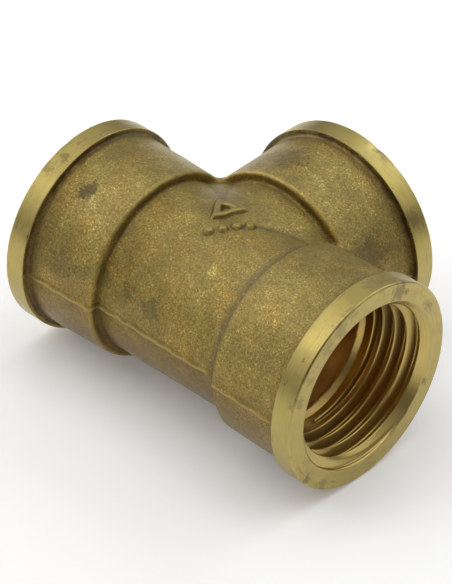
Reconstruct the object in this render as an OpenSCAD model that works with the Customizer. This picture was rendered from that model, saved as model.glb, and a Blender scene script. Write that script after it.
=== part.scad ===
// Equal tee fitting with three internally threaded ports.
// Origin where the run and branch axes cross. +X along the run, +Y out of the branch, +Z up.

/* [Ports] */
// Centre of the tee to the end face of each run port
run_reach = 22.4; // [20.5:0.1:30]
// Centre of the tee to the end face of the branch port
branch_reach = 22.1; // [20.5:0.1:30]
// Radius of the turned rims
rim_r = 13; // [12.7:0.05:15]
// Length of the turned rims
rim_len = 2.75; // [1.5:0.05:4]
// Edge break on the outer edges of the rims
rim_edge = 0.15; // [0.05:0.05:0.4]

/* [Thread] */
// Pitch, 14 threads to the inch
pitch = 1.814; // [1.6:0.002:1.9]
// Radius over the thread crests, which is the drilled bore
minor_r = 9.316; // [9.2:0.002:9.5]
// Depth of the thread groove
thread_depth = 1.162; // [0.8:0.002:1.2]
// Width of the flat land left on each crest
crest_land = 0.4; // [0.2:0.05:0.6]
// Radius of the 45 degree lead-in chamfer where it meets the end face
chamfer_r = 10.65; // [10.5:0.05:10.9]
// Depth of the drilled and tapped wall from the end face
tapped_len = 8.5; // [8:0.1:10.5]
// Plain bore left behind the last thread
plain_len = 0.15; // [0.1:0.05:2]

/* [Cast body] */
// Radius of the waterway
waterway_r = 8.75; // [8:0.05:8.9]
// Outer radius of the centre
centre_r = 10.8; // [10.4:0.05:11.2]
// Centre of the tee to the step where the sockets begin
step_reach = 9.4; // [9:0.1:10]
// Outer radius of the sockets at the step
lip_r = 12; // [11.8:0.05:12.3]
// Outer radius of the sockets at the rim
neck_r = 12.2; // [11.9:0.05:12.5]
// Rounding of the outer edge of the step
lip_round = 0.9; // [0.3:0.05:1]
// Casting fillet in the corner of the step
step_fillet = 0.6; // [0.2:0.05:0.8]
// Casting fillet in the corner behind the rim
neck_fillet = 0.5; // [0.2:0.05:0.7]

/* [Surface features] */
// Width of the raised parting seam
seam_w = 0.9; // [0.5:0.05:1.5]
// Height of the parting seam above the casting
seam_h = 0.3; // [0.1:0.05:0.5]
// Height of the raised mark above the casting
mark_h = 0.45; // [0.2:0.05:0.6]
// Stroke width of the raised mark
mark_stroke = 0.9; // [0.5:0.05:1]
// Size of the triangle in the mark, centre to corner
mark_size = 2.7; // [2.4:0.1:3]
// Radius of the pips in the mark
pip_r = 0.55; // [0.3:0.05:0.7]

/* [Hidden] */
$fn = 96;
// The tapped wall reaches out to this radius, where the socket and the rim begin
wall_r = 11;
// Far enough to cut clear of everything
far = 40;
cast_brass = "#8a7a45";
turned_brass = "#cdbb74";
bore_brass = "#8d6f2e";

// Steps to a turn of the thread groove, and its flank angle from the radial plane
groove_steps = 32;
flank = 27.5;
// How far the cutter stands inside the crests
cut_clear = 0.3;
// Turns over which the groove fades out at its inner end
fade_turns = 0.8;
// Smallest fillet left in a corner of the grown outline
least_fillet = 0.05;
// Segments to a rounded corner of the section
arc_steps = 8;

// Places a shape built up +Z from the centre on one port
module on_port(port) {
    turn = port == "left" ? [0, -90, 0] : port == "right" ? [0, 90, 0] : [-90, 0, 0];
    rotate(turn) children();
}

// Points of an arc about c, from angle a0 to a1
function arc(c, r, a0, a1) =
    [for (i = [0 : arc_steps]) let (a = a0 + (a1 - a0) * i / arc_steps) c + r * [cos(a), sin(a)]];

// Half section of the casting on one port, radius against distance from the centre, grown outward
module cast_half(reach, grow = 0) {
    rim_back = reach - rim_len;
    wall = centre_r + grow;
    step = step_reach - grow;
    lip = lip_r + grow;
    neck = neck_r + grow;
    round_r = lip_round + grow;
    foot_r = max(step_fillet - grow, least_fillet);
    collar_r = max(neck_fillet - grow, least_fillet);
    polygon(concat(
        [[0, 0], [wall, 0]],
        arc([wall + foot_r, step - foot_r], foot_r, 180, 90),
        arc([lip - round_r, step + round_r], round_r, -90, 0),
        arc([neck + collar_r, rim_back - collar_r], collar_r, 180, 90),
        [[0, rim_back]]));
}

// Solid envelope of the whole casting inside the rims, with no bores
module cast_envelope() {
    on_port("left") rotate_extrude() cast_half(run_reach);
    on_port("right") rotate_extrude() cast_half(run_reach);
    on_port("branch") rotate_extrude() cast_half(branch_reach);
}

module socket(port, reach) {
    rim_back = reach - rim_len;
    wall_in = reach - tapped_len;
    shoulder = minor_r - waterway_r;
    on_port(port) rotate_extrude() difference() {
        intersection() {
            cast_half(reach);
            translate([0, step_reach]) square([far, rim_back - step_reach]);
        }
        // Waterway, its 45 degree shoulder and the seat of the tapped wall
        polygon([[0, 0], [waterway_r, 0], [waterway_r, wall_in - shoulder], [minor_r, wall_in],
                 [wall_r, wall_in], [wall_r, reach], [0, reach]]);
    }
}

module rim(port, reach) {
    color(turned_brass) on_port(port) translate([0, 0, reach - rim_len]) rotate_extrude()
        polygon([[wall_r, 0], [rim_r - rim_edge, 0], [rim_r, rim_edge],
                 [rim_r, rim_len - rim_edge], [rim_r - rim_edge, rim_len], [wall_r, rim_len]]);
}

// One cross-section of the groove cutter, i steps up from its inner end
function groove_ring(i) =
    let (angle = 360 * i / groove_steps,
         fade = min(1, (i + 1) / (groove_steps * fade_turns)),
         depth = thread_depth * fade,
         half = (pitch - crest_land) / 2 - (thread_depth - depth) * tan(flank),
         z = pitch * i / groove_steps)
    [for (q = [[minor_r - cut_clear, half + cut_clear * tan(flank) / 2],
               [minor_r + depth, half - depth * tan(flank)],
               [minor_r + depth, depth * tan(flank) - half],
               [minor_r - cut_clear, -half - cut_clear * tan(flank) / 2]])
        [q[0] * cos(angle), q[0] * sin(angle), z + q[1]]];

// Right-hand helical groove of a number of steps
module groove_cutter(steps) {
    points = [for (i = [0 : steps]) each groove_ring(i)];
    first = [0, 1, 2, 3];
    last = [for (k = [3 : -1 : 0]) 4 * steps + k];
    sides = [for (i = [0 : steps - 1]) for (k = [0 : 3])
        let (a = 4 * i + k, b = 4 * i + (k + 1) % 4)
        each [[b + 4, b, a], [a + 4, b + 4, a]]];
    polyhedron(points = points, faces = concat([first, last], sides), convexity = 10);
}

module tapped_wall(port, reach) {
    wall_in = reach - tapped_len;
    groove_in = plain_len + pitch / 2;
    turns = (tapped_len - groove_in) / pitch + 1;
    color(bore_brass) on_port(port) translate([0, 0, wall_in]) difference() {
        rotate_extrude()
            polygon([[minor_r, 0], [wall_r, 0], [wall_r, tapped_len], [chamfer_r, tapped_len],
                     [minor_r, tapped_len - (chamfer_r - minor_r)]]);
        translate([0, 0, groove_in]) groove_cutter(ceil(turns * groove_steps));
    }
}

module centre_body() {
    color(cast_brass) difference() {
        intersection() {
            cast_envelope();
            translate([-step_reach, -far, -far]) cube([2 * step_reach, far + step_reach, 2 * far]);
        }
        rotate([0, 90, 0]) cylinder(r = waterway_r, h = 2 * far, center = true);
        on_port("branch") cylinder(r = waterway_r, h = far);
    }
}

// Corner on the branch side of both 45 degree planes
module branch_side() {
    rotate([0, 0, 45]) translate([0, 0, -far]) cube([far, far, 2 * far]);
}

// The run sockets give up the corner that lies nearer to the branch, and it gives up theirs
module run_socket_left() {
    color(cast_brass) difference() {
        socket("left", run_reach);
        branch_side();
    }
}

module run_socket_right() {
    color(cast_brass) difference() {
        socket("right", run_reach);
        branch_side();
    }
}

module branch_socket() {
    color(cast_brass) intersection() {
        socket("branch", branch_reach);
        branch_side();
    }
}

module run_rim_left() rim("left", run_reach);
module run_rim_right() rim("right", run_reach);
module branch_rim() rim("branch", branch_reach);

module run_thread_left() tapped_wall("left", run_reach);
module run_thread_right() tapped_wall("right", run_reach);
module branch_thread() tapped_wall("branch", branch_reach);

// Strip of the seam along one side of one port, swept about the port's axis
module seam_strip(port, reach, side) {
    sweep = 2 * asin(seam_w / 2 / lip_r);
    on_port(port) rotate([0, 0, side - sweep / 2]) rotate_extrude(angle = sweep) difference() {
        cast_half(reach, seam_h);
        cast_half(reach);
    }
}

module parting_seam() {
    color(cast_brass) {
        // The side away from the branch runs straight through
        seam_strip("left", run_reach, -90);
        seam_strip("right", run_reach, -90);
        // On the branch side the strips turn the corner at 45 degrees
        for (end = [-1, 1]) mirror([end < 0 ? 1 : 0, 0, 0]) {
            difference() {
                seam_strip("right", run_reach, 90);
                branch_side();
            }
            intersection() {
                seam_strip("branch", branch_reach, 0);
                branch_side();
            }
        }
    }
}

// Plan of the raised mark: an open triangle beside a row of pips
module mark_plan() {
    translate([-2, 2.4]) rotate(35) difference() {
        circle(mark_size, $fn = 3);
        circle(mark_size - 2 * mark_stroke, $fn = 3);
    }
    for (i = [-1 : 2]) translate([0.4 + 0.9 * i, -0.6 + 1.35 * i]) circle(pip_r);
}

module casting_mark() {
    color(cast_brass) difference() {
        intersection() {
            linear_extrude(2 * centre_r) mark_plan();
            union() {
                on_port("right") translate([0, 0, -step_reach]) cylinder(r = centre_r + mark_h, h = 2 * step_reach);
                on_port("branch") cylinder(r = centre_r + mark_h, h = step_reach);
            }
        }
        cast_envelope();
    }
}

centre_body();
run_socket_left();
run_socket_right();
branch_socket();
run_rim_left();
run_rim_right();
branch_rim();
run_thread_left();
run_thread_right();
branch_thread();
parting_seam();
casting_mark();
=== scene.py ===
"""Equal tee fitting: one cast brass skin, three turned rims and three tapped walls.

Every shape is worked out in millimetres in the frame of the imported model, and made in metres.
"""

import itertools
import math

import bmesh
import bpy
import numpy as np
from mathutils import Matrix, Vector


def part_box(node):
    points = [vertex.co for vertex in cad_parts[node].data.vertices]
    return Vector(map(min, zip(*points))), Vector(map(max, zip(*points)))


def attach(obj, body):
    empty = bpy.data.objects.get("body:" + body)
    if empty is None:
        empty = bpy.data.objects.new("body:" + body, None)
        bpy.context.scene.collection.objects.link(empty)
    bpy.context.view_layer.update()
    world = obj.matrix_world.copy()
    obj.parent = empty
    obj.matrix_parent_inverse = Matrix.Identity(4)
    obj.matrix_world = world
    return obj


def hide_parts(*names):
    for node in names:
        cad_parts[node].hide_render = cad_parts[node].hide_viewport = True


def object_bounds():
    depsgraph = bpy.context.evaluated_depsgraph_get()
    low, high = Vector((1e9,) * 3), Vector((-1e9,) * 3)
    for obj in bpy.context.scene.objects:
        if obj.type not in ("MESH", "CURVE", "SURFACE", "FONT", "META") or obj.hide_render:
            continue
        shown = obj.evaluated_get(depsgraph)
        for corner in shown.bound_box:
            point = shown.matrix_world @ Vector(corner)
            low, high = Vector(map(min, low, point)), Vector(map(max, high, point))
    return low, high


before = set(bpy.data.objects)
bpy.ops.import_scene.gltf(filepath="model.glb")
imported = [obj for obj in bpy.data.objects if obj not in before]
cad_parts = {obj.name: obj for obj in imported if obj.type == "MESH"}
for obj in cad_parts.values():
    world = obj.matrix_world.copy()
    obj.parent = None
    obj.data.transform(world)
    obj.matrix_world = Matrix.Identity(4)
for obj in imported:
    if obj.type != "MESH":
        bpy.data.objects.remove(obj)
cad_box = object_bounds()

# ---------------------------------------------------------------------------------------
# Sizes in mm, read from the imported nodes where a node's box gives them
# ---------------------------------------------------------------------------------------

MM = 1000.0


def reach(node, axis, end=1):
    """Where a node's box ends along an axis, in mm."""
    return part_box(node)[end][axis] * MM


# How far the end faces stand from the axes, the rims' radius and width, and where the steps are
RUN_REACH = reach("run_rim_right", 0)
BRANCH_REACH = reach("branch_rim", 1)
RIM_R = reach("run_rim_right", 2)
RIM_LEN = RUN_REACH - reach("run_rim_right", 0, 0)
STEP_REACH = reach("centre_body", 0)

# Radii of the casting: the crossing, a barrel at its step and at its rim, and the waterways
CENTRE_R = 10.8
LIP_R = 12.0
NECK_R = 12.2
WATERWAY_R = 8.75

# What stands out from the casting, or lies back from it
SEAM_HEIGHT = 0.21
MARK_HEIGHT = 0.46
LOWER_HALF_BACK = 0.07

# Tapped walls: radii of the crests, of the chamfer's edge and of the wall's outside
MINOR_R = 9.316
CHAMFER_R = 10.65
WALL_R = 11.0
TAPPED_LEN = 8.5
SHOULDER = MINOR_R - WATERWAY_R

# Thread: its profile along the axis, and the plain stretch before its first crest
PITCH = 1.814
THREAD_DEPTH = 1.162
CREST_LAND = 0.12
PLAIN_LEN = 0.15
FLANK = math.tan(math.radians(27.5))

# name: (turn from port-local x, y, out to the frame's axes, reach of the end face)
PORTS = {
    "left": (np.array([[0, 0, -1], [0, 1, 0], [1, 0, 0]]), RUN_REACH),
    "right": (np.array([[0, 0, 1], [0, 1, 0], [-1, 0, 0]]), RUN_REACH),
    "branch": (np.array([[1, 0, 0], [0, 0, 1], [0, -1, 0]]), BRANCH_REACH),
}

# ---------------------------------------------------------------------------------------
# Fields: signed distances in mm, negative inside
# ---------------------------------------------------------------------------------------


def round_union(a, b, radius):
    """Union of two distances with a concave fillet."""
    corner = np.hypot(np.maximum(radius - a, 0), np.maximum(radius - b, 0))
    return np.maximum(np.minimum(a, b), radius) - corner


def round_overlap(a, b, radius):
    """Overlap of two distances with a rounded convex edge."""
    corner = np.hypot(np.maximum(radius + a, 0), np.maximum(radius + b, 0))
    return np.minimum(np.maximum(a, b), -radius) + corner


def smooth_step(x, low, high):
    t = np.clip((x - low) / (high - low), 0, 1)
    return t * t * (3 - 2 * t)


def barrel(u, rho, port_reach):
    """Thick barrel round one thread: a rounded lip at the step and a slight taper."""
    t = np.clip((u - STEP_REACH) / (port_reach - RIM_LEN - STEP_REACH), 0, 1)
    side = rho - (LIP_R + (NECK_R - LIP_R) * t)
    return round_overlap(side, STEP_REACH + 0.1 - u, 0.5)


def collar(u, rho, port_reach):
    """Cast back of the rim."""
    back = port_reach - RIM_LEN
    return round_overlap(rho - (RIM_R - 0.06), back - 0.05 - u, 0.1)


def mark(x, y):
    """Distance in plan to the strokes of the raised mark: an open triangle and four pips."""
    turn = math.radians(35)
    # The sand leaves the strokes a little crooked
    x, y = x + 0.06 * np.sin(2.9 * y + 1), y + 0.05 * np.sin(3.7 * x)
    px, py = x + 2, y - 2.4
    sides = [
        px * math.cos(turn + math.radians(60 + 120 * i))
        + py * math.sin(turn + math.radians(60 + 120 * i))
        for i in range(3)
    ]
    ring = np.abs(np.maximum(np.maximum(sides[0], sides[1]), sides[2]) - 0.9) - 0.45
    for i in range(-1, 3):
        pip = np.hypot(x - 0.4 - 0.9 * i, y + 0.6 - 1.35 * i)
        ring = np.minimum(ring, pip - 0.55)
    return ring


def casting(x, y, z):
    """Outer skin of the casting, with no bores."""
    run, branch, along = np.hypot(y, z), np.hypot(x, z), np.abs(x)
    # The fillet between run and branch dies out where they run into one another on top
    fade = np.maximum(1 - (z / CENTRE_R) ** 2, 0.03)
    fillet = np.minimum(12 * fade**2, 3.2)
    core = round_union(run - CENTRE_R, np.maximum(branch - CENTRE_R, -y), fillet)
    barrels = round_union(
        barrel(along, run, RUN_REACH), barrel(y, branch, BRANCH_REACH), 1.2
    )
    skin = round_union(core, barrels, 0.18)
    collars = np.minimum(
        collar(along, run, RUN_REACH), collar(y, branch, BRANCH_REACH)
    )
    skin = round_union(skin, collars, 0.35)
    wander = 0.07 * np.sin(2.3 * x + 1.1 * y)
    seam = SEAM_HEIGHT * smooth_step(np.abs(z + wander), 0.5, 0.05)
    lower_half = LOWER_HALF_BACK * smooth_step(-z, 0, 0.5)
    raised = MARK_HEIGHT * smooth_step(-mark(x, y), -0.1, 0.22) * (z > 0)
    skin = skin - seam + lower_half - raised
    limit = RIM_R - 0.03
    widest = np.minimum(run - limit, np.maximum(branch - limit, -y))
    ends = np.maximum(along - RUN_REACH, y - BRANCH_REACH) + RIM_LEN - 0.3
    return np.maximum(np.maximum(skin, widest), ends)


def waterways(x, y, z):
    run, branch = np.hypot(y, z), np.hypot(x, z)
    return round_union(run - WATERWAY_R, np.maximum(branch - WATERWAY_R, -y), 0.5)


def bores(x, y, z):
    """Waterways and the seats behind the tapped walls."""
    run, branch, along = np.hypot(y, z), np.hypot(x, z), np.abs(x)
    depth = TAPPED_LEN + SHOULDER - 0.05
    run_seat = np.maximum(run - WALL_R + 0.1, RUN_REACH - depth - along)
    branch_seat = np.maximum(branch - WALL_R + 0.1, BRANCH_REACH - depth - y)
    return np.minimum(waterways(x, y, z), np.minimum(run_seat, branch_seat))


def cast_solid(x, y, z):
    return np.maximum(casting(x, y, z), -bores(x, y, z))


# ---------------------------------------------------------------------------------------
# Mesh tools
# ---------------------------------------------------------------------------------------


def lumps(points, size, seed):
    """Smooth random heights from -1 to 1, in lumps of about that size."""
    lattice = np.random.default_rng(seed).uniform(-1, 1, (32, 32, 32))
    q = points / size
    cell = np.floor(q).astype(int)
    t = q - cell
    t = t * t * (3 - 2 * t)
    total = np.zeros(len(points))
    for corner in itertools.product((0, 1), repeat=3):
        weight = np.prod(np.where(corner, t, 1 - t), axis=1)
        total += weight * lattice[tuple(((cell + corner) % 32).T)]
    return total


def grid_lines(low, high, coarse, fine, spans):
    """Values from low to past high, closer together inside the spans."""
    lines = [low]
    while lines[-1] < high:
        inside = any(a <= lines[-1] < b for a, b in spans)
        lines.append(lines[-1] + (fine if inside else coarse))
    return np.array(lines)


def surface_net(field, axes):
    """Closed quad mesh of field = 0: one vertex in each grid cell that the surface crosses."""
    cells = tuple(n - 1 for n in field.shape)
    total = np.zeros((math.prod(cells), 4))
    quads = []
    for a in range(3):
        b, c = (a + 1) % 3, (a + 2) % 3
        low = np.take(field, range(0, field.shape[a] - 1), axis=a)
        high = np.take(field, range(1, field.shape[a]), axis=a)
        index = np.argwhere((low < 0) != (high < 0))
        f0, f1 = low[tuple(index.T)], high[tuple(index.T)]
        cross = np.stack([axes[k][index[:, k]] for k in range(3)], axis=1)
        step = axes[a][index[:, a] + 1] - axes[a][index[:, a]]
        cross[:, a] += step * f0 / (f0 - f1)
        around = []
        for db, dc in ((0, 0), (1, 0), (1, 1), (0, 1)):
            cell = index.copy()
            cell[:, b] -= db
            cell[:, c] -= dc
            flat = np.ravel_multi_index(tuple(cell.T), cells)
            for k in range(3):
                total[:, k] += np.bincount(flat, cross[:, k], len(total))
            total[:, 3] += np.bincount(flat, minlength=len(total))
            around.append(flat)
        quad = np.stack(around, axis=1)
        quad[f0 >= 0] = quad[f0 >= 0][:, ::-1]
        quads.append(quad)
    used = np.flatnonzero(total[:, 3])
    number = np.full(len(total), -1)
    number[used] = np.arange(len(used))
    points = total[used, :3] / total[used, 3:]
    return points, number[np.concatenate(quads)]


def slope(field, points, step=0.02):
    """Gradient of a field at the points."""
    grads = []
    for k in range(3):
        shift = np.zeros(3)
        shift[k] = step
        ahead, behind = points + shift, points - shift
        grads.append((field(*ahead.T) - field(*behind.T)) / (2 * step))
    return np.stack(grads, axis=1)


def bend(field, points, radius):
    """Mean of a field on a small ball round each point: above 0 on edges, below 0 in corners."""
    ways = [np.array(way) for way in itertools.product((-1, 0, 1), repeat=3) if any(way)]
    moves = [radius * way / np.linalg.norm(way) for way in ways]
    return sum(field(*(points + move).T) for move in moves) / len(moves) / radius


def settle(points, field, rounds=3):
    """Moves points onto field = 0."""
    for _ in range(rounds):
        grad = slope(field, points)
        size = np.maximum((grad**2).sum(axis=1), 0.25)
        move = field(*points.T) / size
        points = points - np.clip(move, -0.1, 0.1)[:, None] * grad
    return points


def relax(points, quads):
    """Moves each point halfway to the mean of its neighbours."""
    ends = np.concatenate([quads[:, [i, (i + 1) % 4]] for i in range(4)])
    count = np.bincount(ends[:, 0], minlength=len(points))[:, None]
    mean = [np.bincount(ends[:, 0], points[ends[:, 1], k], len(points)) for k in range(3)]
    return (points + np.stack(mean, axis=1) / count) / 2


def make_piece(name, points, faces, material, fields):
    """Mesh object from points in mm, with smooth faces and named float or vector fields."""
    mesh = bpy.data.meshes.new(name)
    mesh.from_pydata((points / MM).tolist(), [], [list(map(int, f)) for f in faces])
    for key, values in fields.items():
        kind = "FLOAT_VECTOR" if values.ndim == 2 else "FLOAT"
        prop = "vector" if values.ndim == 2 else "value"
        layer = mesh.attributes.new(key, kind, "POINT")
        layer.data.foreach_set(prop, values.astype(np.float32).ravel())
    mesh.materials.append(material)
    mesh.shade_smooth()
    piece = bpy.data.objects.new(name, mesh)
    bpy.context.scene.collection.objects.link(piece)
    return piece


# Points closer than this, in mm, count as one
SAME_PLACE = 0.0002


def thin_out(piece, weights, ratio):
    """Leaves this share of the faces, taken away where the weights are above 0."""
    group = piece.vertex_groups.new(name="thin")
    for weight in np.unique(weights[weights > 0]):
        group.add(np.flatnonzero(weights == weight).tolist(), float(weight), "REPLACE")
    modifier = piece.modifiers.new("thin", "DECIMATE")
    modifier.ratio, modifier.vertex_group = ratio, "thin"
    graph = bpy.context.evaluated_depsgraph_get()
    mesh = bpy.data.meshes.new_from_object(piece.evaluated_get(graph))
    piece.modifiers.clear()
    piece.vertex_groups.clear()
    # Points that settled onto one another leave faces of no size
    cleaned = bmesh.new()
    cleaned.from_mesh(mesh)
    bmesh.ops.dissolve_degenerate(cleaned, dist=SAME_PLACE / MM, edges=cleaned.edges[:])
    cleaned.to_mesh(mesh)
    cleaned.free()
    piece.data = mesh


# ---------------------------------------------------------------------------------------
# Materials
# ---------------------------------------------------------------------------------------


class Nodes:
    """Short way to add nodes to one material."""

    def __init__(self, name):
        self.material = bpy.data.materials.new(name)
        self.material.use_nodes = True
        self.tree = self.material.node_tree
        self.shader = self.tree.nodes["Principled BSDF"]

    def add(self, kind, *inputs, out=0, **props):
        node = self.tree.nodes.new("ShaderNode" + kind)
        for key, value in props.items():
            setattr(node, key, value)
        for socket, value in inputs:
            self.set(node.inputs[socket], value)
        return node.outputs[out]

    def set(self, socket, value):
        if isinstance(value, bpy.types.NodeSocket):
            self.tree.links.new(value, socket)
        else:
            socket.default_value = value

    def math(self, operation, a, b=0.0):
        return self.add("Math", (0, a), (1, b), operation=operation)

    def mix(self, factor, a, b, kind="MIX"):
        return self.add(
            "Mix", (0, factor), (6, a), (7, b), out=2, data_type="RGBA", blend_type=kind
        )

    def noise(self, vector, scale, detail, rough):
        return self.add(
            "TexNoise", ("Vector", vector), ("Scale", scale), ("Detail", detail),
            ("Roughness", rough)
        )

    def object_mm(self):
        """Place on the object, in mm."""
        place = self.add("TexCoord", out=3)
        return self.add("VectorMath", (0, place), (3, MM), operation="SCALE")

    def range(self, value, low, high, to_low=0.0, to_high=1.0):
        return self.add(
            "MapRange", ("Value", value), ("From Min", low), ("From Max", high),
            ("To Min", to_low), ("To Max", to_high)
        )

    def attribute(self, name, out="Fac"):
        return self.add("Attribute", out=out, attribute_name=name)

    def principled(self, **values):
        for key, value in values.items():
            self.set(self.shader.inputs[key.replace("_", " ")], value)
        return self.material


def spot(n, where, centre, radius, wobble):
    """Mask of a stain round a point in mm, with a ragged edge."""
    away = n.add("VectorMath", (0, where), (1, centre), operation="DISTANCE", out=1)
    away = n.math("ADD", away, wobble)
    return n.range(away, radius * 1.2, radius * 0.7)


# Places on the brass in mm, with their radius and strength: stains, and bright patches of painted
# glints and highlight
CAST_STAINS = (
    ((-15.8, -5.9, 10.6), 1.2, 0.75), ((-14.5, -11.4, 3.9), 1.9, 0.35),
    ((-11.6, -11.4, 4.0), 1.2, 0.35), ((10.9, 13.3, 5.3), 2.4, 0.45),
    ((-2.6, 13.8, 11.8), 2.0, 0.45), ((-5.2, -10.1, 3.9), 1.0, 0.4),
    ((-1.5, -10.3, 3.4), 1.2, 0.4),
)
CAST_GLINT_PATCHES = (
    ((-14.5, -6.4, 10.3), 0.55, 0.45), ((3.8, -5.7, 9.2), 0.6, 0.45),
    ((2.2, 13.2, 11.2), 0.8, 0.35), ((-13.2, -7.6, 9.3), 1.7, 0.12),
    ((1.0, -7.8, 7.2), 1.4, 0.15),
)
TURNED_STAINS = (
    ((22.4, 4.8, 10.8), 1.2, 0.75), ((21.2, 1.4, 12.9), 1.3, 0.35),
    ((22.4, -3.3, 12.0), 0.8, 0.35), ((22.4, -5.2, 10.9), 1.1, 0.4),
    ((22.4, -6.9, 9.6), 1.0, 0.35), ((22.4, -10.2, 6.8), 0.8, 0.35),
    ((22.4, -11.6, 4.2), 0.7, 0.5), ((22.4, -9.8, -7.6), 0.45, 0.7),
    ((22.4, -7.2, -10.1), 0.8, 0.45), ((22.4, 10.0, -4.7), 0.4, 0.7),
    ((22.4, 9.6, 6.2), 0.7, 0.4), ((4.6, 22.0, 12.2), 0.9, 0.5),
    ((11.0, 20.4, 7.0), 1.0, 0.4), ((-21.0, -4.8, 12.1), 0.6, 0.6),
    ((-21.7, -6.5, 11.2), 0.7, 0.5),
)


def cast_brass():
    n = Nodes("cast_brass")
    where = n.object_mm()
    crease, corner, rim_dirt_and_shade, step_shade_and_dirt = (
        n.attribute(key) for key in ("crease", "corner", "rim_dirt_and_shade", "step_shade_and_dirt")
    )
    grain = n.noise(where, 3.6, 6.0, 0.85)
    hue = n.noise(where, 2.3, 4.0, 0.8)
    glints = n.noise(where, 4.6, 2.0, 0.6)
    pits = n.noise(where, 1.6, 3.0, 0.6)
    mottle = n.noise(where, 0.5, 4.0, 0.6)
    clouds = n.noise(where, 0.13, 3.0, 0.55)

    tone = n.range(grain, 0.36, 0.70)
    gold = n.mix(tone, (0.176, 0.127, 0.029, 1), (0.612, 0.466, 0.111, 1))
    olive = n.mix(tone, (0.148, 0.113, 0.031, 1), (0.487, 0.383, 0.100, 1))
    colour = n.mix(n.range(mottle, 0.35, 0.65), olive, gold)
    colour = n.mix(n.range(hue, 0.44, 0.66, 0.0, 0.8), colour, (0.90, 0.72, 0.55, 1), "MULTIPLY")
    # Painted glints: bright gold specks where the glint noise peaks, more in the golden mottle
    lit = n.math("MULTIPLY", n.range(glints, 0.56, 0.68), n.range(mottle, 0.4, 0.62, 0.3, 0.9))
    colour = n.mix(lit, colour, (0.82, 0.64, 0.20, 1))
    clouded = n.range(clouds, 0.56, 0.40, 0.0, 0.32)
    colour = n.mix(clouded, colour, (0.16, 0.115, 0.035, 1))
    browned = n.range(n.noise(where, 0.24, 3.0, 0.6), 0.48, 0.64, 0.0, 0.6)
    colour = n.mix(browned, colour, (0.95, 0.83, 0.72, 1), "MULTIPLY")

    # Painted light by height: darker below the seam as painted shade, a cool painted sky
    # reflection on top, and warmer lower down as painted reflected light
    height_z = n.add("SeparateXYZ", (0, where), out=2)
    painted_underside_shade = n.range(height_z, 0.3, -0.6, 0.0, 0.8)
    colour = n.mix(painted_underside_shade, colour, (0.74, 0.70, 0.67, 1), "MULTIPLY")
    colour = n.mix(n.range(height_z, 3.0, 11.0), colour, (1.02, 1.04, 1.15, 1), "MULTIPLY")
    colour = n.mix(n.range(height_z, 6.0, -2.0), colour, (0.97, 0.92, 0.82, 1), "MULTIPLY")

    ragged = n.range(n.noise(where, 0.9, 4.0, 0.65), 0.3, 0.7, -0.9, 0.9)
    for centre, radius, depth in CAST_STAINS:
        mask = n.math("MULTIPLY", spot(n, where, centre, radius, ragged), depth)
        colour = n.mix(mask, colour, (0.085, 0.068, 0.032, 1))
    # Bright patches of painted glints and highlight, speckled by the glint noise
    patch_speckle = n.range(glints, 0.40, 0.60)
    for centre, radius, share in CAST_GLINT_PATCHES:
        mask = n.math("MULTIPLY", spot(n, where, centre, radius, ragged), share)
        mask = n.math("MULTIPLY", mask, patch_speckle)
        colour = n.mix(mask, colour, (0.90, 0.72, 0.27, 1))

    # Painted shade with dirt in the corners and creases, dirt and painted shade behind the rims,
    # and edges lightened by wear and a painted highlight
    soft = n.math("ADD", crease, n.range(mottle, 0.3, 0.7, -0.03, 0.03))
    painted_shade_and_dirt = n.math(
        "ADD", n.range(soft, -0.06, -0.26, 0.0, 0.78), n.range(corner, -0.06, -0.3, 0.0, 0.15)
    )
    # Dirt and painted shade behind the rims, broken up by the mottle
    cover = n.math("MULTIPLY", rim_dirt_and_shade, n.range(mottle, 0.35, 0.62, 0.35, 1.0))
    painted_shade_and_dirt = n.math("MAXIMUM", painted_shade_and_dirt, cover)
    clear_of_dirt_and_shade = n.math("SUBTRACT", 1, n.math("MAXIMUM", rim_dirt_and_shade, step_shade_and_dirt))
    # Convex edges lightened, more along the seam: wear, and a painted highlight on the step lips
    on_seam = n.range(n.math("ABSOLUTE", height_z), 1.2, 0.6, 0.4, 0.62)
    edge_wear_and_highlight = n.math("MULTIPLY", n.range(crease, 0.03, 0.14), on_seam)
    edge = n.math("MULTIPLY", edge_wear_and_highlight, clear_of_dirt_and_shade)
    colour = n.mix(edge, colour, (0.50, 0.38, 0.10, 1))
    # Painted shade, with dirt, on the band just before the right step
    colour = n.mix(n.math("MULTIPLY", step_shade_and_dirt, 0.5), colour, (0.11, 0.092, 0.05, 1))
    # Painted shade, with dirt, in the corners and creases and behind the rims
    colour = n.mix(n.math("MINIMUM", painted_shade_and_dirt, 0.88), colour, (0.078, 0.045, 0.013, 1))

    rough = n.range(tone, 0.0, 1.0, 0.38, 0.28)
    height = n.math("ADD", n.math("MULTIPLY", grain, 0.11), n.math("MULTIPLY", pits, 0.07))

    # The waterways are smooth inside
    bored = n.attribute("bored")
    squeezed = n.add("VectorMath", (0, where), (1, (1.2, 0.5, 0.5)), operation="MULTIPLY")
    streaks = n.noise(squeezed, 0.6, 2.0, 0.5)
    drilled = n.mix(n.range(streaks, 0.35, 0.70), (0.46, 0.29, 0.09, 1), (0.62, 0.41, 0.135, 1))
    colour = n.mix(bored, colour, drilled)
    rough = n.add("Mix", ("Factor", bored), (2, rough), (3, 0.34))
    height = n.math("MULTIPLY", height, n.range(bored, 0.0, 1.0, 1.0, 0.03))
    bump = n.add("Bump", ("Strength", 1.0), ("Distance", 0.001), ("Height", height))
    return n.principled(
        Base_Color=colour, Metallic=1.0, Roughness=rough, Normal=bump,
        Coat_Weight=0.25, Coat_Roughness=0.5,
    )


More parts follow.
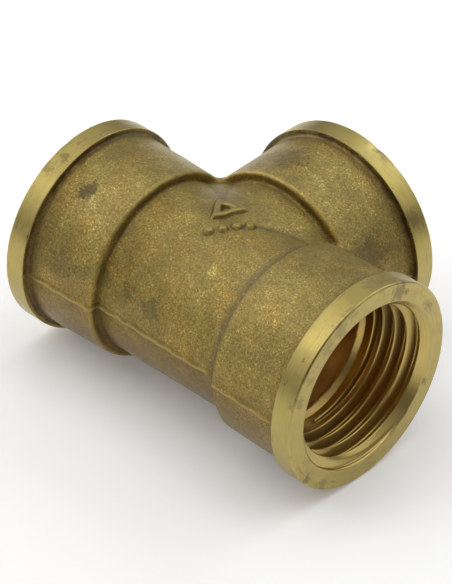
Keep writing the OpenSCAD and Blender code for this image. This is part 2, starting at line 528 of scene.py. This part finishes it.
def turned_lines(n, port):
    """Texture place that makes rings about the port's axis, radius, and distance along it."""
    parts = n.tree.nodes.new("ShaderNodeSeparateXYZ")
    n.set(parts.inputs[0], port)
    x, y, u = parts.outputs
    radius = n.math("SQRT", n.math("ADD", n.math("MULTIPLY", x, x), n.math("MULTIPLY", y, y)))
    across = n.math("ADD", radius, u)
    cosine, sine = n.math("DIVIDE", x, radius), n.math("DIVIDE", y, radius)
    vector = n.add("CombineXYZ", (0, n.math("MULTIPLY", across, 9.0)), (1, cosine), (2, sine))
    return vector, radius, u


def turned_brass():
    n = Nodes("turned_brass")
    port = n.attribute("port", "Vector")
    vector, radius, _ = turned_lines(n, port)
    lines = n.noise(vector, 1.0, 4.0, 0.7)
    where = n.object_mm()
    haze = n.noise(where, 0.35, 4.0, 0.6)
    specks = n.noise(where, 1.3, 3.0, 0.6)

    colour = n.mix(n.range(lines, 0.3, 0.7), (0.400, 0.315, 0.092, 1), (0.496, 0.397, 0.124, 1))
    arcs = n.add("VectorMath", (0, vector), (1, (0.45, 5, 5)), operation="MULTIPLY")
    scratches = n.range(n.noise(arcs, 1.0, 2.0, 0.5), 0.63, 0.70, 0.0, 0.5)
    colour = n.mix(n.range(haze, 0.45, 0.7, 0.0, 0.6), colour, (0.368, 0.280, 0.104, 1))
    colour = n.mix(scratches, colour, (0.17, 0.125, 0.05, 1))
    colour = n.mix(n.range(specks, 0.66, 0.74, 0.0, 0.7), colour, (0.17, 0.12, 0.045, 1))
    ragged = n.range(n.noise(where, 1.1, 4.0, 0.7), 0.3, 0.7, -0.8, 0.8)
    for centre, radius, depth in TURNED_STAINS:
        mask = n.math("MULTIPLY", spot(n, where, centre, radius, ragged), 0.9 * depth)
        colour = n.mix(mask, colour, (0.15, 0.11, 0.048, 1))
    from_lip = n.math("ABSOLUTE", n.math("SUBTRACT", radius, CHAMFER_R + 0.06))
    ragged_lip = n.range(n.noise(where, 0.25, 3.0, 0.6), 0.42, 0.58, 0.25, 0.95)
    burr = n.math("MULTIPLY", n.range(from_lip, 0.30, 0.12), ragged_lip)
    colour = n.mix(burr, colour, (0.16, 0.10, 0.035, 1))
    rough = n.range(lines, 0.3, 0.7, 0.42, 0.34)
    bump = n.add("Bump", ("Strength", 0.6), ("Distance", 0.00001), ("Height", lines))
    return n.principled(
        Base_Color=colour, Metallic=1.0, Roughness=rough, Normal=bump,
        Coat_Weight=0.2, Coat_Roughness=0.4,
    )


def tapped_brass():
    n = Nodes("tapped_brass")
    port = n.attribute("port", "Vector")
    vector, _, u = turned_lines(n, port)
    lines = n.noise(vector, 1.0, 3.0, 0.65)
    bright = n.mix(n.range(lines, 0.3, 0.7), (0.50, 0.375, 0.125, 1), (0.60, 0.46, 0.16, 1))
    brown = n.mix(n.range(lines, 0.3, 0.7), (0.58, 0.385, 0.125, 1), (0.72, 0.49, 0.165, 1))
    bright = n.mix(n.range(u, 21.6, 19.2), bright, (0.56, 0.40, 0.13, 1))
    # Redder in the thread grooves than on the crests: painted shade and interreflection
    colour = n.mix(n.attribute("groove_shade"), bright, brown)
    rough = n.range(lines, 0.3, 0.7, 0.38, 0.28)
    bump = n.add("Bump", ("Strength", 0.5), ("Distance", 0.000003), ("Height", lines))
    return n.principled(Base_Color=colour, Metallic=1.0, Roughness=rough, Normal=bump)


CAST, TURNED, TAPPED = cast_brass(), turned_brass(), tapped_brass()

# ---------------------------------------------------------------------------------------
# Cast body
# ---------------------------------------------------------------------------------------


def build_cast_body():
    coarse, fine = ((0.28, 0.18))
    limit = RIM_R + 0.3
    # Finer cells round the mark, the steps and the seam
    steps = [(-STEP_REACH - 1, 0.6 - STEP_REACH), (STEP_REACH - 0.6, STEP_REACH + 1)]
    axes = [
        grid_lines(-RUN_REACH, RUN_REACH, coarse, fine, [(-4.8, 3), *steps]),
        grid_lines(-limit, BRANCH_REACH, coarse, fine, [(-2.6, 5.2), steps[1]]),
        grid_lines(-limit, limit, coarse, fine, [(-0.7, 0.7)]),
    ]
    field = cast_solid(axes[0][:, None, None], axes[1][None, :, None], axes[2][None, None, :])
    points, quads = surface_net(field, axes)
    for _ in range(2):
        points = settle(relax(points, quads), cast_solid, 2)
    normal = slope(cast_solid, points)
    normal /= np.linalg.norm(normal, axis=1)[:, None]

    outside = np.abs(casting(*points.T)) < 0.05
    crease = np.where(outside, bend(casting, points, 0.28), -0.1)
    corner = np.where(outside, bend(casting, points, 1.1), -0.1)
    x, y, z = points.T
    run_back, branch_back = RUN_REACH - RIM_LEN, BRANCH_REACH - RIM_LEN
    # Dirt and painted shade behind the rims: widest low down on the left, thin on the branch,
    # faint on the right
    width = 0.9 + 1.2 * smooth_step(z, 7, 3)
    rim_dirt_and_shade = smooth_step(-x - run_back, -width, -0.3)
    to_rim = np.maximum(x - run_back, y - branch_back)
    rim_dirt_and_shade = np.maximum(rim_dirt_and_shade, 0.3 * smooth_step(to_rim, -1.7, -0.6))
    rim_dirt_and_shade = np.maximum(rim_dirt_and_shade, smooth_step(y - branch_back, -0.6, -0.25))
    # A dark band on the crossing, just before the right step: painted shade from the step's lip,
    # with dirt
    step_shade_and_dirt = smooth_step(x, STEP_REACH - 1.6, STEP_REACH - 0.8) * smooth_step(x, 10.2, 9.6)
    step_shade_and_dirt *= smooth_step(y, 9, 7)

    seats = ~outside & (waterways(*points.T) > 0.3)
    # The skin is uneven outside, and nearly even in the bores
    height = 0.05 * lumps(points, 5.0, 1) + 0.03 * lumps(points, 1.9, 2)
    height += 0.015 * lumps(points, 0.8, 3)
    height[~outside] *= 0.1
    points = points + normal * height[:, None]
    marks = {
        "crease": crease, "corner": corner, "rim_dirt_and_shade": rim_dirt_and_shade, "step_shade_and_dirt": step_shade_and_dirt,
        "bored": 1.0 - outside,
    }
    piece = make_piece("cast_body", points, quads, CAST, marks)
    thin_out(piece, np.where(outside, 0, np.where(seats, 1, 0.5)), 0.64)
    return piece


# ---------------------------------------------------------------------------------------
# Rims
# ---------------------------------------------------------------------------------------


def stations(a, b, step):
    """Evenly spaced values from a to b, both included."""
    return np.linspace(a, b, max(2, round(abs(b - a) / step) + 1))


def rim_section():
    """Closed outline of a rim as (radius, distance from its back)."""
    edge, far = 0.17, RIM_LEN
    lean = WALL_R - CHAMFER_R
    corners = [
        *[(r, 0.0) for r in stations(WALL_R, RIM_R - 0.07, 0.4)],
        (RIM_R - 0.02, 0.01),
        (RIM_R, 0.05),
        *[(RIM_R, u) for u in stations(0.15, far - edge - 0.1, 0.18)],
        (RIM_R, far - edge - 0.02),
        (RIM_R - 0.02, far - edge + 0.02),
        (RIM_R - edge + 0.02, far - 0.02),
        (RIM_R - edge - 0.02, far),
        *[(r, far) for r in stations(RIM_R - edge - 0.1, CHAMFER_R + 0.1, 0.25)],
        (CHAMFER_R + 0.03, far),
        (CHAMFER_R, far - 0.03),
        (CHAMFER_R + 0.1, far - 0.13),
        (WALL_R, far - lean),
        (WALL_R, far / 2),
    ]
    return np.array(corners)


# Dents in the rims: port, place in mm, size, depth
DENTS = (
    ("branch", (3.7, 21.9, 12.4), 0.9, 0.2), ("branch", (6.6, 21.9, 11.2), 0.6, 0.08),
    ("right", (22.4, -5.6, 11.7), 0.5, 0.08), ("right", (22.4, -11.6, -5.8), 0.7, 0.1),
    ("right", (22.4, 12.3, 3.9), 0.5, 0.09), ("left", (-22.4, -3.0, 12.6), 0.6, 0.1),
    ("left", (-19.7, -11.9, 5.2), 0.5, 0.08),
)


def build_rim(port, seed):
    turn, port_reach = PORTS[port]
    section = rim_section()
    n_around, n_along = 288, len(section)
    angle = np.repeat(np.arange(n_around) * 2 * math.pi / n_around, n_along)
    r, u = np.tile(section, (n_around, 1)).T
    u = u + port_reach - RIM_LEN
    local = np.stack([r * np.cos(angle), r * np.sin(angle), u], axis=1)
    world = local @ turn.T
    skin = smooth_step(r, RIM_R - 0.4, RIM_R - 0.1)
    inward = skin * (0.03 * np.maximum(lumps(world, 3.0, seed), 0) + 0.012)
    for dented, place, size, depth in DENTS:
        if dented == port:
            away = np.linalg.norm(world - np.array(place), axis=1)
            inward += skin * depth * np.exp(-((away / size) ** 2) * 2)
    local[:, 0] -= inward * np.cos(angle)
    local[:, 1] -= inward * np.sin(angle)
    index = np.arange(n_around * n_along).reshape(n_around, n_along)
    ahead, beside = np.roll(index, -1, axis=0), np.roll(index, -1, axis=1)
    both = np.roll(ahead, -1, axis=1)
    quads = np.stack([index, ahead, both, beside], axis=2).reshape(-1, 4)
    return make_piece(
        f"rim_{port}", local @ turn.T, quads, TURNED, {"port": local}
    )


# ---------------------------------------------------------------------------------------
# Tapped walls
# ---------------------------------------------------------------------------------------


def soft_max(a, b, k):
    h = np.clip(0.5 + (a - b) / (2 * k), 0, 1)
    return b + (a - b) * h + k * h * (1 - h)


def bore_radius(u, turns):
    """Radius of the tapped hole, u mm out from the foot of its cone, at a share of a turn."""
    out = u - SHOULDER
    first = PLAIN_LEN + PITCH / 2 + PITCH * turns
    nearest = np.maximum(np.round((out - first) / PITCH), 0)
    away = np.abs(out - first - PITCH * nearest)
    fade = np.clip((nearest + turns) / 0.8, 0, 1)
    half = (PITCH - CREST_LAND) / 2
    groove = (half - away) / FLANK - THREAD_DEPTH * (1 - fade)
    groove = soft_max(groove, 0, 0.04)
    groove = -soft_max(-groove, -THREAD_DEPTH, 0.14)
    mouth = CHAMFER_R - (TAPPED_LEN - out) - MINOR_R
    cone = np.minimum(out, 0)
    return MINOR_R + np.where(out < 0.3, cone, soft_max(groove, mouth, 0.03))


def build_tapped_wall(port):
    turn, port_reach = PORTS[port]
    n_around, per_pitch = ((224, 24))
    length = TAPPED_LEN + SHOULDER
    n_rows = math.ceil(length / PITCH) * per_pitch
    turns = np.arange(n_around) / n_around
    rows = np.arange(-per_pitch, n_rows + 1)
    u = np.clip((rows[:, None] / per_pitch + turns[None, :]) * PITCH, 0, length)
    r = bore_radius(u, np.broadcast_to(turns, u.shape))
    outer = np.array([[length - (WALL_R - CHAMFER_R), WALL_R], [0, WALL_R]])
    u = np.concatenate([u, np.repeat(outer[:, :1], n_around, axis=1)])
    r = np.concatenate([r, np.repeat(outer[:, 1:], n_around, axis=1)])
    angle = 2 * math.pi * turns
    local = np.stack(
        [r * np.cos(angle), r * np.sin(angle), u + port_reach - length], axis=2
    )
    # Rows climb with the thread: past the last column a row goes on as the one a pitch further out
    count = len(rows)
    number = np.arange(u.size).reshape(u.shape)
    flat_low = (u[:count] <= 0).sum(axis=0) - 1
    flat_high = count - (u[:count] >= length).sum(axis=0)
    inner = np.clip(np.arange(count)[:, None], flat_low[None, :], flat_high[None, :])
    number[:count] = number[inner, np.arange(n_around)[None, :]]
    beyond = np.roll(number, -1, axis=1)
    climbed = np.clip(np.arange(count) + per_pitch, 0, count - 1)
    beyond[:count, -1] = number[climbed, 0]
    upper = np.roll(number, -1, axis=0)
    upper_beyond = np.roll(beyond, -1, axis=0)
    quads = np.stack([number, upper, upper_beyond, beyond], axis=2).reshape(-1, 4)
    faces = []
    for quad in quads.tolist():
        face = [v for i, v in enumerate(quad) if v != quad[i - 1]]
        if len(set(face)) >= 3 and len(face) == len(set(face)):
            faces.append(face)
    used = np.unique(np.concatenate([np.array(f) for f in faces]))
    renumber = np.full(u.size, -1)
    renumber[used] = np.arange(len(used))
    local = local.reshape(-1, 3)[used]
    faces = [[int(renumber[v]) for v in f] for f in faces]
    r = np.hypot(local[:, 0], local[:, 1])
    to_cone = CHAMFER_R - (port_reach - local[:, 2]) - r
    # Share of the way into a thread groove, which drives the painted shade in the grooves
    groove_shade = smooth_step(r, MINOR_R + 0.02, MINOR_R + 0.3) * smooth_step(to_cone, 0.02, 0.15)
    return make_piece(
        f"tapped_wall_{port}", local @ turn.T, faces, TAPPED, {"port": local, "groove_shade": groove_shade}
    )


# ---------------------------------------------------------------------------------------
# The object
# ---------------------------------------------------------------------------------------

cast_body = build_cast_body()
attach(cast_body, "root")
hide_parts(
    "centre_body", "run_socket_left", "run_socket_right", "branch_socket",
    "parting_seam", "casting_mark",
)

for seed, (port, rim_node, wall_node) in enumerate(
    (
        ("left", "run_rim_left", "run_thread_left"),
        ("right", "run_rim_right", "run_thread_right"),
        ("branch", "branch_rim", "branch_thread"),
    )
):
    rim = build_rim(port, 20 + seed)
    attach(rim, "root")
    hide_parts(rim_node)
    wall = build_tapped_wall(port)
    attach(wall, "root")
    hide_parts(wall_node)

# ---------------------------------------------------------------------------------------
# Stage: floor, lights and camera
# ---------------------------------------------------------------------------------------


def build_floor():
    """Plain pale floor, 3 m across, at the foot of the object."""
    mesh = bpy.data.meshes.new("floor")
    half, z = 1.5, cad_box[0][2]
    corners = [(-half, -half, z), (half, -half, z), (half, half, z), (-half, half, z)]
    mesh.from_pydata(corners, [], [(0, 1, 2, 3)])
    n = Nodes("floor")
    pale = n.principled(
        Base_Color=(0.93, 0.93, 0.93, 1), Roughness=0.9,
        Emission_Color=(1, 1, 1, 1), Emission_Strength=0.15,
    )
    mesh.materials.append(pale)
    floor = bpy.data.objects.new("floor", mesh)
    bpy.context.scene.collection.objects.link(floor)


# Softboxes: azimuth (0 is +X, 90 is +Y) and elevation in degrees, power in watts, tint
LAMP_DISTANCE = 0.6
LAMP_SIZE = 0.38
COOL, PLAIN = (0.92, 0.98, 1.0), (1.0, 1.0, 1.0)
LAMPS = (
    (180, 6, 1.50, PLAIN), (240, 6, 0.09, PLAIN),
    (0, 35, 0.13, PLAIN), (45, 35, 0.39, PLAIN), (90, 35, 1.00, COOL),
    (135, 35, 0.28, PLAIN), (225, 35, 0.47, PLAIN),
    (30, 62, 0.55, PLAIN), (174, 62, 0.42, PLAIN), (246, 62, 0.93, PLAIN),
    (0, 88, 0.50, PLAIN),
)


def build_lamp(azimuth, elevation, power, tint):
    """Square softbox that faces the origin."""
    name = f"lamp_{azimuth}_{elevation}"
    lamp = bpy.data.lights.new(name, "AREA")
    lamp.shape, lamp.size = "SQUARE", LAMP_SIZE
    lamp.energy, lamp.color = power, tint
    a, e = math.radians(azimuth), math.radians(elevation)
    way = Vector((math.cos(a) * math.cos(e), math.sin(a) * math.cos(e), math.sin(e)))
    holder = bpy.data.objects.new(name, lamp)
    holder.location = way * LAMP_DISTANCE
    holder.rotation_euler = way.to_track_quat("Z", "Y").to_euler()
    bpy.context.scene.collection.objects.link(holder)


def build_world(strength, colour):
    world = bpy.data.worlds.new("studio")
    world.use_nodes = True
    back = world.node_tree.nodes["Background"]
    back.inputs["Color"].default_value = (*colour, 1)
    back.inputs["Strength"].default_value = strength
    bpy.context.scene.world = world


# Camera: degrees round from -Y, up and rolled; metres back from the origin, right and up
CAMERA_TURN = (42.632, 37.499, 1.318)
CAMERA_PLACE = (0.413528, 0.00043, 0.0010)
CAMERA_LENS = 221.53
SENSOR_WIDTH = 36


def build_camera():
    az, el, roll = (math.radians(a) for a in CAMERA_TURN)
    back = Vector((math.sin(az) * math.cos(el), -math.cos(az) * math.cos(el), math.sin(el)))
    right = Vector((math.cos(az), math.sin(az), 0))
    up = back.cross(right)
    right, up = (
        right * math.cos(roll) + up * math.sin(roll),
        up * math.cos(roll) - right * math.sin(roll),
    )
    camera = bpy.data.objects.new("camera", bpy.data.cameras.new("camera"))
    distance, shift_right, shift_up = CAMERA_PLACE
    place = back * distance + right * shift_right + up * shift_up
    facing = Matrix((right, up, back)).transposed().to_4x4()
    camera.matrix_world = Matrix.Translation(place) @ facing
    camera.data.sensor_width = SENSOR_WIDTH
    camera.data.lens = CAMERA_LENS
    camera.data.clip_start, camera.data.clip_end = 0.02, 20
    bpy.context.scene.collection.objects.link(camera)
    bpy.context.scene.camera = camera


build_floor()
build_world(0.07, (1.0, 0.88, 0.80))
for azimuth, elevation, power, tint in LAMPS:
    build_lamp(azimuth, elevation, power, tint)
build_camera()
bpy.context.scene.view_settings.view_transform = "Standard"
